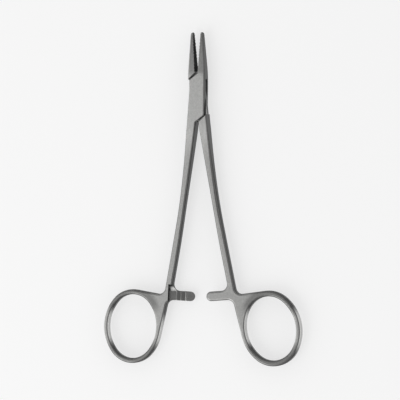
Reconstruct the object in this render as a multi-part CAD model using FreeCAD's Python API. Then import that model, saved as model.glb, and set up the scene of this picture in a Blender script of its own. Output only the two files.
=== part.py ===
import FreeCAD, Part
import math
import os

# A slim needle holder with a box lock, drawn flat: jaws towards +Y, rings towards -Y,
# the hinge axis on Z, the underside of the lock on Z = 0. All sizes are in millimetres.
# Each half is first drawn closed, with its ring on +X and its jaw on -X. The box half is
# then mirrored across X = 0, and both are turned open about the hinge.

Vector = FreeCAD.Vector
origin = Vector(0, 0, 0)
right = Vector(1, 0, 0)
up = Vector(0, 0, 1)

# box lock
lock_width = 6.5
lock_thickness = 4.8
slot_height = 1.9
shoulder_inner = 9.5         # where the shoulder lines meet the closing plane
shoulder_outer = 6.9         # where they meet the sides of the lock
shoulder_gap = 0.1
slot_clearance = 0.03        # on each face of the waist
edge_rounding = 0.5          # along the lock and the jaws
seam_width = 0.5             # the broken edges of two shoulders, with the gap between them
seam_depth = 0.25

# hinge pin, riveted flush with both faces
pin_radius = 1.2
pin_head_radius = 1.5
pin_head_depth = 0.4
pin_clearance = 0.03

# jaws
tip_reach = 25.6
jaw_tip_width = 0.97
jaw_tip_thickness = 2.33
jaw_root_width = 2.3
jaw_root = 14.5              # distance from the pivot where that width is measured
jaw_blend = 20.0             # radius where the lock's faces run into the jaw's taper
wall_blend = 130.0           # radius where the lock's sides run into the jaw's
face_clearance = 0.03        # the gripping faces stay this far off the closing plane

# the gripping face: two sets of crossing V grooves, and a smooth hollow along the middle
grip_pitch = 0.62
grip_width = 0.4
grip_depth = 0.16
grip_angle = 28.6            # from the jaw's length
grip_start = 0.6             # beyond the shoulder
hollow_tip_end = 2.2         # from the jaw's tip
hollow_length = 8.5
hollow_width = 0.73
hollow_depth = 0.25

# shanks
neck_length = 3.0            # from the lower shoulder to the head of the shank
neck_width = 3.45
neck_slope = 0.06            # sideways travel of the shank's head per mm of length
neck_blend = 60.0
shank_waist_width = 2.55
shank_waist_thickness = 3.3
shank_waist_share = 0.65     # of the way down the shank
shank_outer_rounding = 1.05
shank_end_offset = 6.95
shank_end_reach = 64.0
shank_end_width = 2.8
shank_panels = 12

# yoke, ratchet bar and ring
handle_thickness = 3.1
handle_rounding = 0.8
bar_drop = 14.0              # from the shank's end to the bar's centre line
bar_width = 3.76
bar_overlap = 2.1            # each bar's tip passes the closing plane by this much
yoke_inset = 0.94
yoke_fillet = 2.6
bar_clearance = 0.1          # between the tooth tips of the two bars
bar_edge_rounding = 0.4
scoop_length = 2.9           # the hollow where the bar starts, from its last tooth to the yoke
scoop_rounding = 3.4
scoop_above = 4.8            # how far it runs above and below the bar's centre line
scoop_below = 2.5
tooth_pitch = 1.9
tooth_count = 3
tooth_depth = 0.5
tooth_land = 0.35
lead_drop = 0.6              # how far the bar's tip slopes down to slide over the other one
ring_drop = 27.65            # from the bar's centre line to the far end of the ring

# the pose, and the two rings, which differ a little as hand-finished rings do
box_side = {
    "open_angle": 2.75, "ring_offset": 23.05, "ring_lower": 0.0, "ring_lean": 0.5,
    "opening_width": 20.1, "opening_height": 25.2, "ring_side": 1.95, "ring_end": 1.95,
    "first_tooth": 3.9,
}
through_side = {
    "open_angle": 4.25, "ring_offset": 23.4, "ring_lower": 1.1, "ring_lean": 9.0,
    "opening_width": 20.5, "opening_height": 25.1, "ring_side": 2.1, "ring_end": 2.25,
    "first_tooth": 2.1,
}

middle = lock_thickness / 2
bar_reach = shank_end_reach + bar_drop
far = 40.0                   # reach of cutting blocks, outside the lock and the jaws
overlap = 0.02               # how far a cutting tool stands proud of the face that it cuts
tolerance = 1e-4


def prism(points, low, high):
    # a straight-sided block over a polygon in the plan
    outline = Part.makePolygon([Vector(p.x, p.y, low) for p in points + points[:1]])
    return Part.Face(outline).extrude(up * (high - low))


def square_to(direction):
    # the plan direction on its outer side
    return Vector(-direction.y, direction.x, 0)


def at_height(point, direction, y):
    # where a line in the plan reaches a height
    return point + direction * ((y - point.y) / direction.y)


def touch_point(point, centre, radius, axis):
    # where a tangent from a point meets a circle, a quarter turn on about the axis
    out = point - centre
    share = radius / out.Length
    return centre + (out * share + axis.cross(out) * math.sqrt(1 - share * share)) * share


def softened(points, radii):
    # straight runs through the points, with a tangent arc at each inner one
    edges = []
    start = points[0]
    for before, corner, after, radius in zip(points, points[1:], points[2:], radii):
        back = (before - corner).normalize()
        ahead = (after - corner).normalize()
        half_turn = (math.pi - back.getAngle(ahead)) / 2
        reach = radius * math.tan(half_turn)
        crown = corner + (back + ahead).normalize() * (radius / math.cos(half_turn) - radius)
        edges.append(Part.makeLine(start, corner + back * reach))
        edges.append(Part.Arc(corner + back * reach, crown, corner + ahead * reach).toShape())
        start = corner + ahead * reach
    edges.append(Part.makeLine(start, points[-1]))
    return edges


def is_upright(edge):
    first, last = (edge.valueAt(place) for place in edge.ParameterRange)
    return edge.Curve.TypeId == "Part::GeomLine" and (first - last).cross(up).Length < tolerance


def shoulder_height(x):
    slope = (shoulder_inner - shoulder_outer) / (lock_width / 2)
    return shoulder_inner - slope * abs(x)


# the shank's centre line: one arc that leaves the lock in line with the neck

neck_heading = Vector(neck_slope, -1, 0).normalize()
neck_across = square_to(neck_heading)
neck_top = Vector(face_clearance, -shoulder_inner, 0)
neck_inner = neck_top + neck_heading * neck_length
shank_head = neck_inner + neck_across * (neck_width / 2)
shank_end = Vector(shank_end_offset, -shank_end_reach, 0)
shank_chord = shank_end - shank_head
shank_radius = shank_chord.dot(shank_chord) / (2 * shank_chord.dot(neck_across))
shank_centre = shank_head + neck_across * shank_radius
shank_sweep = 2 * math.asin(shank_chord.Length / 2 / shank_radius)


def shank_turn(share):
    return FreeCAD.Rotation(up, math.degrees(shank_sweep * share))


def shank_point(share):
    return shank_centre + shank_turn(share).multVec(shank_head - shank_centre)


def shank_heading(share):
    return shank_turn(share).multVec(neck_heading)


def side_wall():
    # one side of jaw and lock, from beyond the tip down to the neck's foot
    tip = Vector(jaw_tip_width, tip_reach, 0)
    taper = Vector(jaw_root_width, jaw_root, 0) - tip
    foot = shank_head + neck_across * (neck_width / 2)
    knee = foot - neck_heading * (neck_length / 2)
    lock_run = knee - Vector(lock_width / 2, 0, 0)
    corner = tip + taper * (lock_run.cross(knee - tip).z / lock_run.cross(taper).z)
    start = at_height(tip, taper, tip_reach + jaw_tip_thickness)
    return softened([start, corner, knee, foot], [wall_blend, neck_blend])


def side_view():
    # the outline seen from the side: flat lock, tapering jaw, round tip
    tip = jaw_tip_thickness / 2
    tip_centre = Vector(-far, tip_reach - tip, middle)
    ends = []
    edges = []
    for side in (1, -1):
        tail = Vector(-far, -far, middle + side * middle)
        corner = Vector(-far, shoulder_inner, tail.z)
        touch = touch_point(corner, tip_centre, tip, right * -side)
        edges += softened([tail, corner, touch], [jaw_blend])
        ends.append((tail, touch))
    edges.append(Part.makeLine(ends[0][0], ends[1][0]))
    edges.append(Part.Arc(ends[0][1], tip_centre + Vector(0, tip, 0), ends[1][1]).toShape())
    outline = Part.Wire(Part.__sortEdges__(edges))
    return Part.Face(outline).extrude(right * 2 * far)


def lock_blank():
    # jaw, lock and neck as one bar, its long edges rounded, before the halves part
    wall = side_wall()
    walls = wall + [edge.mirror(origin, right) for edge in wall]
    top = wall[0].valueAt(wall[0].FirstParameter)
    foot = wall[-1].valueAt(wall[-1].LastParameter)
    ends = [Part.makeLine(Vector(-top.x, top.y, 0), top), Part.makeLine(foot, neck_inner),
            Part.makeLine(neck_inner, Vector(-foot.x, foot.y, 0))]
    plan = Part.Face(Part.Wire(Part.__sortEdges__(walls + ends)))
    bar = plan.extrude(up * lock_thickness).common(side_view())
    sheets = [edge.extrude(up * lock_thickness) for edge in walls]

    def is_side(edge):
        first, last = edge.ParameterRange
        centre = Part.Vertex(edge.valueAt((first + last) / 2))
        return any(sheet.distToShape(centre)[0] < tolerance for sheet in sheets)

    rims = [edge for edge in bar.Edges if is_side(edge) and not is_upright(edge)]
    return bar.makeFillet(edge_rounding, rims)


def grip_grooves(slant):
    # V grooves along the gripping face, leaning one way
    start = shoulder_inner + grip_start
    lean = math.radians(grip_angle)
    along = Vector(0, math.cos(lean), slant * math.sin(lean))
    across = along.cross(right)
    face = Vector(-face_clearance, 0, middle)
    edge = across * (grip_width / 2 * (1 + overlap / grip_depth)) + right * overlap
    edge_back = edge - across * (2 * edge.dot(across))
    step = grip_pitch / math.sin(lean)
    spread = middle / math.tan(lean)
    length = 2 * middle / math.sin(lean)
    zone = Part.makeBox(2 * grip_depth, tip_reach - start, lock_thickness,
                        Vector(-face_clearance - 1.5 * grip_depth, start, 0))
    grooves = []
    for i in range(math.ceil((tip_reach - start + 2 * spread) / step)):
        centre = face + Vector(0, start - spread + (i + 0.5) * step, 0)
        foot = centre - along * (length / 2)
        triangle = Part.makePolygon([foot + edge, foot - right * grip_depth, foot + edge_back, foot + edge])
        grooves.append(Part.Face(triangle).extrude(along * length).common(zone))
    return Part.makeCompound([groove for groove in grooves if groove.Volume > tolerance])


def grip_hollow():
    # the smooth spindle that a bevelled grinding wheel leaves along the middle of the face
    wheel_radius = hollow_length ** 2 / (8 * hollow_depth)
    centre = Vector(wheel_radius - face_clearance - hollow_depth,
                    tip_reach - hollow_tip_end - hollow_length / 2, middle)
    bevels = [Part.makeCone(wheel_radius, wheel_radius - 2 * hollow_depth, hollow_width, centre, up * side)
              for side in (1, -1)]
    return bevels[0].fuse(bevels[1])


def lock_part():
    # the blank less the other half's jaw and the other half's shank, with its gripping face
    top = tip_reach + far
    jaw_cut = prism([Vector(-face_clearance, top), Vector(-face_clearance, shoulder_inner),
                     Vector(0, shoulder_inner), Vector(far, shoulder_height(far)),
                     Vector(far, top)], -far, far)
    inner = neck_inner + neck_heading * far
    shank_cut = prism([inner, neck_top, Vector(0, -shoulder_inner),
                       Vector(-far, -shoulder_height(far)), Vector(-far, inner.y)], -far, far)
    part = lock_blank().cut(jaw_cut).cut(shank_cut)
    neck_middle = (neck_inner + neck_top) / 2
    inner_edges = [edge for edge in part.Edges if not is_upright(edge)
                   and (edge.CenterOfMass - neck_middle).cross(up).Length < face_clearance]
    part = part.makeFillet(edge_rounding, inner_edges)
    return part.cut(grip_grooves(1)).cut(grip_grooves(-1)).cut(grip_hollow())


def lock_window(low, high):
    # the plan of the joint: where one half's middle and the other's cheeks are cut away
    side = lock_width
    inner, outer = shoulder_inner + shoulder_gap, shoulder_height(side) + shoulder_gap
    return prism([Vector(-side, outer), Vector(0, inner), Vector(side, inner),
                  Vector(side, -outer), Vector(0, -inner), Vector(-side, -inner)], low, high)


def seam_grooves(side):
    # V grooves that break the shoulders' edges, the jaw's shoulder lying on the given side
    grooves = []
    for end in (1, -1):
        start = Vector(0, end * (shoulder_inner + shoulder_gap / 2), 0)
        outer = shoulder_height(lock_width) + shoulder_gap / 2
        reach = Vector(side * end * lock_width, end * outer, 0) - start
        across = square_to(reach).normalize() * (seam_width / 2 * (1 + overlap / seam_depth))
        for level in (1, -1):
            face = start + up * (middle + level * middle)
            proud = up * (level * overlap)
            apex = face - up * (level * seam_depth)
            rim = [face - across + proud, face + across + proud]
            grooves.append(Part.Face(Part.makePolygon([rim[0], apex, rim[1], rim[0]])).extrude(reach))
    return grooves


def shank_section(share):
    # a rounded rectangle square to the centre line: from the lock's, to the waist's, to the yoke's
    lock_end = (neck_width, lock_thickness, edge_rounding, edge_rounding)
    waist = (shank_waist_width, shank_waist_thickness, handle_rounding, shank_outer_rounding)
    yoke_end = (shank_end_width, handle_thickness, handle_rounding, handle_rounding)
    if share < shank_waist_share:
        first, last, way = lock_end, waist, share / shank_waist_share
    else:
        first, last, way = waist, yoke_end, (share - shank_waist_share) / (1 - shank_waist_share)
    eased = math.sin(way * math.pi / 2)
    width, thickness, inner_rounding, outer_rounding = (a + (b - a) * eased for a, b in zip(first, last))

    across = square_to(shank_heading(share))
    centre = shank_point(share) + up * middle
    corners = [(-1, -1, inner_rounding), (1, -1, outer_rounding),
               (1, 1, outer_rounding), (-1, 1, inner_rounding)]
    arcs = []
    for i, (side, level, radius) in enumerate(corners):
        corner = centre + across * (side * width / 2) + up * (level * thickness / 2)
        on_flat, on_side = across * (-side * radius), up * (-level * radius)
        crown = corner + (on_flat + on_side) * (1 - math.sqrt(0.5))
        ends = [corner + on_flat, corner + on_side]
        if i % 2 == 0:
            ends.reverse()
        arcs.append((ends[0], crown, ends[1]))
    edges = []
    for i, arc in enumerate(arcs):
        edges.append(Part.Arc(*arc).toShape())
        edges.append(Part.makeLine(arc[2], arcs[(i + 1) % len(arcs)][0]))
    return Part.Wire(edges)


def shank():
    # short panels, each of which bends by less than a degree
    sections = [shank_section(i / shank_panels) for i in range(shank_panels + 1)]
    return Part.makeLoft(sections, True, True)


def oval_circles(width, height, lean, centre):
    # the circles of the top and of the left side of a leaning oval of four tangent arcs
    tall, wide = height / 2, width / 2
    diagonal = math.hypot(tall, wide)
    top_radius = diagonal * (diagonal - tall + wide) / (2 * tall)
    side_radius = diagonal * (diagonal + tall - wide) / (2 * wide)
    turn = FreeCAD.Rotation(up, lean)
    top = centre + turn.multVec(Vector(0, tall - top_radius, 0))
    side = centre + turn.multVec(Vector(side_radius - wide, 0, 0))
    return (top, top_radius), (side, side_radius)


def oval_disc(width, height, lean, centre):
    # an oval plate as thick as the handles
    (top, top_radius), (side, side_radius) = oval_circles(width, height, 0, origin)
    joint = top + (top - side).normalize() * top_radius
    places = [Vector(joint.x, joint.y), Vector(0, height / 2),
              Vector(-joint.x, joint.y), Vector(width / 2, 0),
              Vector(-joint.x, -joint.y), Vector(0, -height / 2),
              Vector(joint.x, -joint.y), Vector(-width / 2, 0)]
    arcs = [Part.Arc(places[i], places[i + 1], places[(i + 2) % len(places)]).toShape()
            for i in range(0, len(places), 2)]
    disc = Part.Face(Part.Wire(arcs)).extrude(up * handle_thickness)
    disc.rotate(origin, up, lean)
    disc.translate(centre + up * (middle - handle_thickness / 2))
    return disc


def corner_edge(shape, spot):
    # the upright edge nearest to a spot of the plan
    uprights = [edge for edge in shape.Edges if is_upright(edge)]
    return min(uprights, key=lambda edge: (edge.CenterOfMass - spot).cross(up).Length)


def handle(sizes):
    # yoke, ratchet bar and ring as one plate with rounded edges, the bar still full height
    low, high = middle - handle_thickness / 2, middle + handle_thickness / 2
    heading = shank_heading(1)
    across = square_to(heading) * (shank_end_width / 2)
    lean = sizes["ring_lean"]
    ring_width = sizes["opening_width"] + 2 * sizes["ring_side"]
    ring_height = sizes["opening_height"] + 2 * sizes["ring_end"]
    (crown, crown_radius), (flank, flank_radius) = oval_circles(ring_width, ring_height, lean, origin)
    ring_end = bar_reach + ring_drop + sizes["ring_lower"]
    centre = Vector(sizes["ring_offset"], crown.y + crown_radius - ring_end, 0)

    inner_side, outer_side = shank_end - across, shank_end + across
    inner_foot = at_height(inner_side, heading, -bar_reach)
    outer_foot = at_height(outer_side, heading, -bar_reach)
    yoke_inner = inner_foot + right * yoke_inset
    left = touch_point(yoke_inner, centre + flank, flank_radius, up)
    crest = touch_point(outer_foot, centre + crown, crown_radius, -up)
    bar_top, bar_bottom = bar_width / 2 - bar_reach, -bar_width / 2 - bar_reach
    bar_tip = Vector(bar_width / 2 - bar_overlap, -bar_reach, low)
    bar_end = (inner_foot.x + outer_foot.x) / 2
    bar = [Vector(bar_tip.x, bar_bottom), Vector(bar_end, bar_bottom),
           Vector(bar_end, bar_top), Vector(bar_tip.x, bar_top)]
    plate = oval_disc(ring_width, ring_height, lean, centre).fuse([
        prism([inner_side, outer_side, outer_foot, inner_foot], low, high),
        prism([yoke_inner, outer_foot, crest, centre, left], low, high),
        prism(bar, low, high),
        Part.makeCylinder(bar_width / 2, handle_thickness, bar_tip),
    ]).removeSplitter()

    above = at_height(inner_side, heading, bar_top)
    below = at_height(yoke_inner, left - yoke_inner, bar_bottom)
    for spot in (above, below, outer_foot):
        plate = plate.makeFillet(yoke_fillet, [corner_edge(plate, spot)])
    plate = plate.cut(oval_disc(sizes["opening_width"], sizes["opening_height"], lean, centre))
    rims = []
    for edge in plate.Edges:
        spot = edge.CenterOfMass
        is_flat = abs(abs(spot.z - middle) - handle_thickness / 2) < tolerance
        if is_flat and (spot - shank_end).dot(heading) > tolerance:
            rims.append(edge)
    return plate.makeFillet(handle_rounding, rims)


def ratchet(plate, first_tooth):
    # the bar's upper half off, to let the other bar pass, then the teeth and the sloping tip
    tips = middle - bar_clearance / 2
    start = Vector(first_tooth - bar_overlap, -bar_reach - scoop_below, tips)
    last = start + right * (tooth_pitch * (tooth_count - 1))
    run = scoop_below + scoop_above
    plate = plate.cut(Part.makeBox(far, run, lock_thickness, last - right * far))
    rims = [edge for edge in plate.Edges if abs(edge.CenterOfMass.z - tips) < tolerance
            and edge.CenterOfMass.x < last.x - tolerance]
    plate = plate.makeFillet(bar_edge_rounding, rims)

    scoop = Part.makeBox(scoop_length, run, lock_thickness, last)
    bends = [edge for edge in scoop.Edges if abs(edge.CenterOfMass.z - tips) < tolerance
             and abs(edge.CenterOfMass.y - start.y - run) < tolerance]
    plate = plate.cut(scoop.makeFillet(scoop_rounding, bends))

    proud = up * overlap
    notches = []
    for i in range(tooth_count):
        tip = start + right * (tooth_pitch * i)
        end = tip + right * (tooth_pitch - tooth_land if i < tooth_count - 1 else scoop_length)
        notches.append([tip + proud, tip - up * tooth_depth, end, end + proud])
    lead = start - right * tooth_land
    nose = Vector(-bar_overlap, start.y, tips)
    notches.append([lead + proud, lead, nose - up * lead_drop, nose + proud])
    width = Vector(0, scoop_below + bar_width / 2, 0)
    return plate.cut([Part.Face(Part.makePolygon(notch + notch[:1])).extrude(width) for notch in notches])


def half(sizes, side):
    # one forging, drawn closed; side tells where its jaw's shoulder lies
    grip = ratchet(handle(sizes), sizes["first_tooth"])
    if side < 0:
        grip = grip.mirror(up * middle, up)
    body = lock_part().fuse([shank(), grip])
    return body.cut(seam_grooves(side))


def pin(radius, head_radius):
    # a rod with a shallow cone at each end
    rod = Part.makeCylinder(radius, lock_thickness)
    heads = [Part.makeCone(head_radius, radius, pin_head_depth),
             Part.makeCone(radius, head_radius, pin_head_depth, up * (lock_thickness - pin_head_depth))]
    return rod.fuse(heads).removeSplitter()


def box_half():
    body = half(box_side, 1)
    slot = lock_window(middle - slot_height / 2, middle + slot_height / 2)
    body = body.cut(slot).mirror(origin, right)
    body = body.cut(pin(pin_radius, pin_head_radius))
    body.rotate(origin, up, -box_side["open_angle"])
    return body


def through_half():
    body = half(through_side, -1)
    waist = slot_height / 2 - slot_clearance
    body = body.cut([lock_window(-middle, middle - waist), lock_window(middle + waist, 3 * middle)])
    body = body.cut(Part.makeCylinder(pin_radius + pin_clearance, lock_thickness))
    body.rotate(origin, up, through_side["open_angle"])
    return body


if __name__ == "__main__":
    os.makedirs("parts", exist_ok=True)
    pieces = {
        "box_half": box_half(),
        "through_half": through_half(),
        "hinge_pin": pin(pin_radius, pin_head_radius),
    }
    for name, piece in pieces.items():
        print(name, piece.ShapeType, len(piece.Solids), piece.isValid(), round(piece.Volume, 2))
        piece.exportStep(f"parts/{name}.step")
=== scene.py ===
import math

import bpy
from mathutils import Matrix, Vector


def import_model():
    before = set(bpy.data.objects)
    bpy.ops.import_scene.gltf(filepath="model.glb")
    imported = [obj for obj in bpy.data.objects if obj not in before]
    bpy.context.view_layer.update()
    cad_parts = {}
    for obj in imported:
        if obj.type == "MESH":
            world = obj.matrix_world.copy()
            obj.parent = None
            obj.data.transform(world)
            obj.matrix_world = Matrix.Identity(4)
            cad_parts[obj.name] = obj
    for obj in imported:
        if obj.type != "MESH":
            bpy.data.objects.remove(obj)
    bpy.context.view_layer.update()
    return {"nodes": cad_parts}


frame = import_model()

mm = 0.001
scene = bpy.context.scene


class Sock:  # a node socket that can be written in expressions
    def __init__(self, tree, socket):
        self.tree = tree
        self.socket = socket

    def math(self, operation, other, flip=False):  # flip swaps the two operands
        first, second = (other, self) if flip else (self, other)
        return self.tree.node("ShaderNodeMath", {"operation": operation}, {0: first, 1: second})

    def __add__(self, other):
        return self.math("ADD", other)

    def __radd__(self, other):
        return self.math("ADD", other, True)

    def __sub__(self, other):
        return self.math("SUBTRACT", other)

    def __rsub__(self, other):
        return self.math("SUBTRACT", other, True)

    def __mul__(self, other):
        return self.math("MULTIPLY", other)

    def __rmul__(self, other):
        return self.math("MULTIPLY", other, True)

    def __abs__(self):
        return self.tree.node("ShaderNodeMath", {"operation": "ABSOLUTE"}, {0: self})


class Tree:  # the nodes of a material, a world or a modifier
    def __init__(self, nodeTree):
        self.nodes = nodeTree.nodes
        self.links = nodeTree.links
        self.nodes.clear()

    def node(self, kind, settings=None, inputs=None, output=0):
        made = self.nodes.new(kind)
        for name, value in (settings or {}).items():
            setattr(made, name, value)
        for name, value in (inputs or {}).items():
            if isinstance(value, Sock):
                self.links.new(value.socket, made.inputs[name])
            else:
                made.inputs[name].default_value = value
        return Sock(self, made.outputs[output] if made.outputs else None)

    def ramp(self, value, low, high):  # a soft step from 0 at low to 1 at high
        return self.node("ShaderNodeMapRange", {"interpolation_type": "SMOOTHSTEP"},
                         {"Value": value, "From Min": low, "From Max": high})

    def noise(self, place, scale, detail):
        return self.node("ShaderNodeTexNoise", None, {
            "Vector": place, "Scale": scale, "Detail": detail}) - 0.5


def newMaterial(name):
    made = bpy.data.materials.new(name)
    made.use_nodes = True
    return made, Tree(made.node_tree)


steel = {
    "flatLevel": 0.46,           # grey of the flat faces
    "paintedSideShade": 0.08,           # and of the upright ones, darker as painted shade
    "flatRange": (0.64, 0.99),   # how level a face lies, from upright to flat, which places the painted side shade
    "warmth": 0.98,              # share of blue
    "paintedOuterShade": 0.22,          # painted shade: how much darker all but the lock is coloured
    "lockRun": (14, 26),         # mm from the pivot
    "mottle": (0.40, 1300, 2),   # strength, scale and detail
    "grain": (0.35, 5200, 1),
    "brushing": (0.09, 4500, 3),
    "brushStretch": (1, 0.06, 1),
    "roughness": 0.315,
    "bump": (0.06, 0.05 * mm),   # strength and depth
    "paintedHighlightLevel": 0.66,          # painted highlight: the rings' sides are coloured light at their widest places
    "paintedRingShade": 0.05,           # and dark above and below them, as painted shade
    "paintedRingShadeRange": (0.32, 0.66),
    "paintedRingTopShade": 0.42,             # painted shade: how much darker their tops are there
    "ringSquash": 0.83,          # width of a ring over its height
    "ringEdge": (12.2, 14.4),    # mm from its centre, across
    "ringCentres": {"box_half": (-27.4, -89.9), "through_half": (30.2, -90.0)},
    "noRing": (0, -200),         # the pin has none, so its centre lies far off
    "weldDistance": 0.001 * mm,
    "sharpAngle": 28,
    "faceWeight": 100,
}


def satinSteel(name):
    made, tree = newMaterial("satinSteel." + name)
    place = tree.node("ShaderNodeTexCoord", output="Object")
    normal = tree.node("ShaderNodeTexCoord", output="Normal")
    x = tree.node("ShaderNodeSeparateXYZ", None, {0: place}, 0)
    y = tree.node("ShaderNodeSeparateXYZ", None, {0: place}, 1)

    # painted highlights and shade on a ring, from the way round its centre and the distance to it
    centre = steel["ringCentres"].get(name, steel["noRing"])
    right = x - centre[0] * mm
    up = (y - centre[1] * mm) * steel["ringSquash"]
    reach = (right * right + up * up).math("POWER", 0.5)
    ring = 1 - tree.ramp(reach, *(edge * mm for edge in steel["ringEdge"]))
    paintedRingShadeMask = tree.ramp(abs(up.math("DIVIDE", reach)), *steel["paintedRingShadeRange"])
    paintedRingSide = steel["paintedHighlightLevel"] + paintedRingShadeMask * (steel["paintedRingShade"] - steel["paintedHighlightLevel"])
    side = steel["paintedSideShade"] + ring * (paintedRingSide - steel["paintedSideShade"])
    top = steel["flatLevel"] * (1 - ring * paintedRingShadeMask * steel["paintedRingTopShade"])

    # painted shade on upright faces against flat ones, then painted shade outside the lock, and the
    # blasted grain
    flat = tree.ramp(abs(tree.node("ShaderNodeSeparateXYZ", None, {0: normal}, 2)), *steel["flatRange"])
    outer = tree.ramp(abs(y), *(edge * mm for edge in steel["lockRun"]))
    mottleShare, *mottleNoise = steel["mottle"]
    grainShare, *grainNoise = steel["grain"]
    grain = tree.noise(place, *grainNoise)
    level = (side + flat * (top - side)) * (1 - outer * steel["paintedOuterShade"])
    level = level * (1 + tree.noise(place, *mottleNoise) * mottleShare + grain * grainShare)
    colour = tree.node("ShaderNodeCombineColor", None, {
        0: level, 1: level, 2: level * steel["warmth"]})

    # fine brushing along the instrument
    lengthwise = tree.node("ShaderNodeMapping", None, {"Vector": place, "Scale": steel["brushStretch"]})
    brushShare, *brushNoise = steel["brushing"]
    brushed = tree.noise(lengthwise, *brushNoise)
    strength, depth = steel["bump"]
    bump = tree.node("ShaderNodeBump", None, {
        "Height": brushed + grain, "Strength": strength, "Distance": depth})
    shader = tree.node("ShaderNodeBsdfPrincipled", None, {
        "Base Color": colour, "Metallic": 1.0, "Normal": bump,
        "Roughness": steel["roughness"] + brushed * brushShare})
    tree.node("ShaderNodeOutputMaterial", None, {"Surface": shader})
    return made


def smoothShade():
    # join the loose triangles, shade smooth, and keep the edges that are sharper than the limit
    group = bpy.data.node_groups.new("smoothShade", "GeometryNodeTree")
    group.interface.new_socket("Geometry", in_out="INPUT", socket_type="NodeSocketGeometry")
    group.interface.new_socket("Geometry", in_out="OUTPUT", socket_type="NodeSocketGeometry")
    tree = Tree(group)
    loose = tree.node("NodeGroupInput")
    joined = tree.node("GeometryNodeMergeByDistance", None, {
        "Geometry": loose, "Distance": steel["weldDistance"]})
    faces = tree.node("GeometryNodeSetShadeSmooth", None, {"Geometry": joined})
    angle = tree.node("GeometryNodeInputMeshEdgeAngle")
    sharp = tree.node("FunctionNodeCompare", {"data_type": "FLOAT", "operation": "GREATER_THAN"}, {
        0: angle, 1: math.radians(steel["sharpAngle"])})
    edges = tree.node("GeometryNodeSetShadeSmooth", {"domain": "EDGE"}, {
        "Geometry": faces, "Selection": sharp, "Shade Smooth": False})
    tree.node("NodeGroupOutput", None, {"Geometry": edges})
    return group


def finishSteel(node, name, group):
    node.data.materials.clear()
    node.data.materials.append(satinSteel(name))
    smooth = node.modifiers.new("smoothShade", "NODES")
    smooth.node_group = group
    weights = node.modifiers.new("flatFacesRule", "WEIGHTED_NORMAL")  # keeps big faces evenly lit
    weights.mode = "FACE_AREA"
    weights.weight = steel["faceWeight"]
    weights.keep_sharp = True


smoothGroup = smoothShade()
for name, node in frame["nodes"].items():
    finishSteel(node, name, smoothGroup)
print("steel done")


studio = {
    "floorColour": (0.95, 0.95, 0.95, 1),
    "floorSize": 3.0,
    "whiteShare": 0.64,       # how much of the floor is seen as plain white, beside its paint
    "horizonLevel": 1.6,
    "zenithLevel": 0.22,
    "horizonRange": (0.2, 0.8),
    "lamps": {                # place, target, size, power
        "softbox": ((-0.56, -0.365, 0.8), (-0.56, -0.365, 0), (0.78, 0.95), 2.35),
        "lowerLeft": ((-0.65, -0.75, 0.55), (0, -0.04, 0), (0.7, 0.7), 2.6),
    },
}


def floor():
    mesh = bpy.data.meshes.new("floor")
    half = studio["floorSize"] / 2
    corners = [(-half, -half, 0), (half, -half, 0), (half, half, 0), (-half, half, 0)]
    mesh.from_pydata(corners, [], [(0, 1, 2, 3)])
    plate = bpy.data.objects.new("floor", mesh)
    scene.collection.objects.link(plate)
    made, tree = newMaterial("paleFloor")
    paint = tree.node("ShaderNodeBsdfDiffuse", None, {"Color": studio["floorColour"]})
    white = tree.node("ShaderNodeEmission", None, {"Strength": 1.0})
    path = [tree.node("ShaderNodeLightPath", output=name)
            for name in ("Is Camera Ray", "Is Glossy Ray", "Is Transmission Ray")]
    seen = (path[0] + path[1] + path[2]) * studio["whiteShare"]
    shader = tree.node("ShaderNodeMixShader", None, {0: seen, 1: paint, 2: white})
    tree.node("ShaderNodeOutputMaterial", None, {"Surface": shader})
    mesh.materials.append(made)


def lamp(name, place, target, size, power):
    light = bpy.data.lights.new(name, "AREA")
    light.shape = "RECTANGLE"
    light.size, light.size_y = size
    light.energy = power
    holder = bpy.data.objects.new(name, light)
    holder.location = place
    aim = Vector(target) - Vector(place)
    holder.rotation_euler = aim.to_track_quat("-Z", "Y").to_euler()
    scene.collection.objects.link(holder)


def world():
    # an even ring of light round the horizon, softer overhead
    made = bpy.data.worlds.new("studio")
    made.use_nodes = True
    tree = Tree(made.node_tree)
    way = tree.node("ShaderNodeTexCoord", output="Generated")
    height = tree.node("ShaderNodeSeparateXYZ", None, {0: way}, 2)
    low, high = studio["horizonLevel"], studio["zenithLevel"]
    level = low + tree.ramp(height, *studio["horizonRange"]) * (high - low)
    light = tree.node("ShaderNodeBackground", None, {"Color": (1, 1, 1, 1), "Strength": level})
    tree.node("ShaderNodeOutputWorld", None, {"Surface": light})
    scene.world = made


floor()
world()
for name, settings in studio["lamps"].items():
    lamp(name, *settings)


view = {
    "tilt": 20.0,             # degrees from straight above, towards +X
    "distance": 1.2,
    "pixel": 0.3916 * mm,     # one pixel of the photograph on the object
    "pixels": 400,
    "centre": Vector((0.667, -40.14, 2.4)) * mm,
    "sensor": 36,
    "clipEnd": 10,
}


def camera():
    tilt = math.radians(view["tilt"])
    back = Vector((math.sin(tilt), 0, math.cos(tilt)))
    up = Vector((0, 1, 0))
    right = up.cross(back)
    made = bpy.data.cameras.new("camera")
    made.sensor_width = view["sensor"]
    made.sensor_fit = "HORIZONTAL"
    made.lens = view["sensor"] * view["distance"] / (view["pixel"] * view["pixels"])
    made.clip_end = view["clipEnd"]
    holder = bpy.data.objects.new("camera", made)
    turn = Matrix((right, up, back)).transposed().to_4x4()
    holder.matrix_world = Matrix.Translation(view["centre"] + back * view["distance"]) @ turn
    scene.collection.objects.link(holder)
    scene.camera = holder


camera()
scene.view_settings.view_transform = "Standard"
print("studio done")
